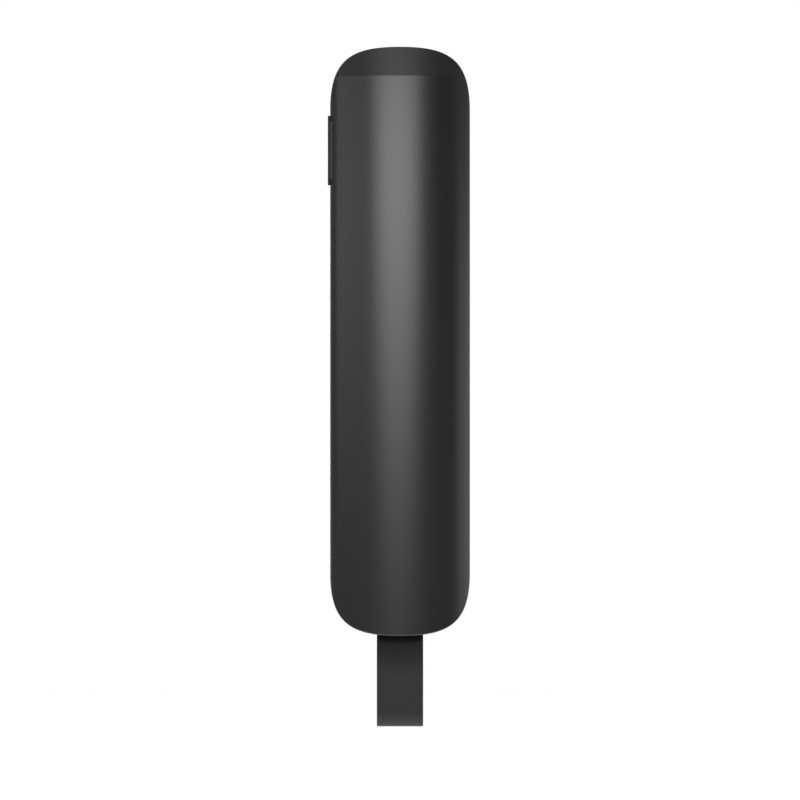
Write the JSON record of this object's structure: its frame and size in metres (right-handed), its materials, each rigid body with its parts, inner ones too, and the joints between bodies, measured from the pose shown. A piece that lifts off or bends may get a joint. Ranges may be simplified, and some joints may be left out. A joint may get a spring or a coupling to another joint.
{
  "type": "wireless presentation clicker",
  "caption": "Slim oval handheld clicker with press buttons, an edge key, a radio-window cap, a laser pointer and a stowed USB receiver on a soft strap loop.",
  "frame": {"origin": "centre of the housing's bottom end, in the mouth that the receiver leaves by", "axes": "+Z along the clicker towards the pointing end, +Y out of the side with the buttons, side key on -X"},
  "size_m": [0.0279, 0.0124, 0.1334],
  "materials": {
    "anodised_aluminium": "fine bead-blasted graphite anodising",
    "cap_plastic": "satin graphite moulding that radio passes through",
    "cover_plastic": "fine spark-eroded black moulding",
    "frame_plastic": "black glass-filled moulding",
    "button_plastic": "satin soft-feel moulding",
    "key_aluminium": "satin graphite anodising with bright cut edges",
    "strap_silicone": "matte moulded silicone",
    "seal_rubber": "soft black rubber",
    "window_clear": "dark red tinted clear plastic",
    "light_pipe": "frosted light pipe",
    "laser_brass": "turned",
    "screw_steel": "blackened steel",
    "spring_steel": "rolled spring strip",
    "plug_steel": "nickel-plated stamping",
    "board_green": "solder mask on glass laminate",
    "board_black": "black solder mask",
    "shield_tin": "tin-plated",
    "chip_black": "moulded package",
    "solder_gold": "gold-plated copper",
    "switch_metal": "stamped cover",
    "battery_foil": "laminated pouch foil",
    "foam_pad": "closed-cell foam",
    "weight_tungsten": "sintered",
    "connector_black": "moulded insulator"
  },
  "bodies": {
    "handset": {"housing_tube": "anodised_aluminium", "antenna_cap": "cap_plastic", "cap_gasket": "seal_rubber", "laser_window": "window_clear", "laser_barrel": "laser_brass", "laser_board": "board_green", "laser_pins": "solder_gold", "chassis": "frame_plastic", "cap_screws": "screw_steel", "base_cover": "cover_plastic", "dock_frame": "frame_plastic", "dock_screws": "screw_steel", "dock_springs": "spring_steel", "main_board": "board_green", "board_screws": "screw_steel", "antenna_trace": "solder_gold", "shield_can": "shield_tin", "controller_chip": "chip_black", "crystal": "shield_tin", "board_components": "chip_black", "status_led": "light_pipe", "led_window": "light_pipe", "usb_c_shell": "plug_steel", "usb_c_tongue": "connector_black", "battery_pad": "foam_pad", "battery_cell": "battery_foil", "battery_tabs": "spring_steel", "motor_cradle": "seal_rubber", "motor_can": "switch_metal", "front_switches": "switch_metal", "side_switch": "switch_metal"},
    "pointer_key": {"pointer_button": "button_plastic", "pointer_plunger": "connector_black"},
    "next_key": {"next_button": "button_plastic", "next_plunger": "connector_black"},
    "back_key": {"back_button": "button_plastic", "back_plunger": "connector_black"},
    "edge_key": {"side_key": "key_aluminium", "side_plunger": "connector_black"},
    "vibrator": {"motor_weight": "weight_tungsten"},
    "receiver": {"receiver_tail": "cover_plastic", "receiver_plug_shell": "plug_steel", "receiver_carrier": "connector_black", "receiver_board": "board_black", "receiver_contacts": "solder_gold", "receiver_chip": "chip_black", "strap_pin": "screw_steel"},
    "strap_loop": {"strap": "strap_silicone"}
  },
  "joints": [
    {"name": "pointer_press", "type": "slide", "parent": "handset", "child": "pointer_key", "axis": [0, -1, 0], "range_m": [0, 0.00025], "stiffness_N_per_m": 1000},
    {"name": "next_press", "type": "slide", "parent": "handset", "child": "next_key", "axis": [0, -1, 0], "range_m": [0, 0.00025], "stiffness_N_per_m": 1000},
    {"name": "back_press", "type": "slide", "parent": "handset", "child": "back_key", "axis": [0, -1, 0], "range_m": [0, 0.00025], "stiffness_N_per_m": 1000},
    {"name": "side_press", "type": "slide", "parent": "handset", "child": "edge_key", "axis": [1, 0, 0], "range_m": [0, 0.00025], "stiffness_N_per_m": 1000},
    {"name": "receiver_slide", "type": "slide", "parent": "handset", "child": "receiver", "axis": [0, 0, -1], "range_m": [0, 0.024]},
    {"name": "strap_swing", "type": "hinge", "parent": "receiver", "child": "strap_loop", "pos_m": [0, 0, 0.0022], "axis": [1, 0, 0], "range_deg": [-22, 22]},
    {"name": "weight_spin", "type": "hinge", "parent": "handset", "child": "vibrator", "pos_m": [0, -0.0009, 0.0383], "axis": [0, 0, 1], "continuous": true}
  ]
}
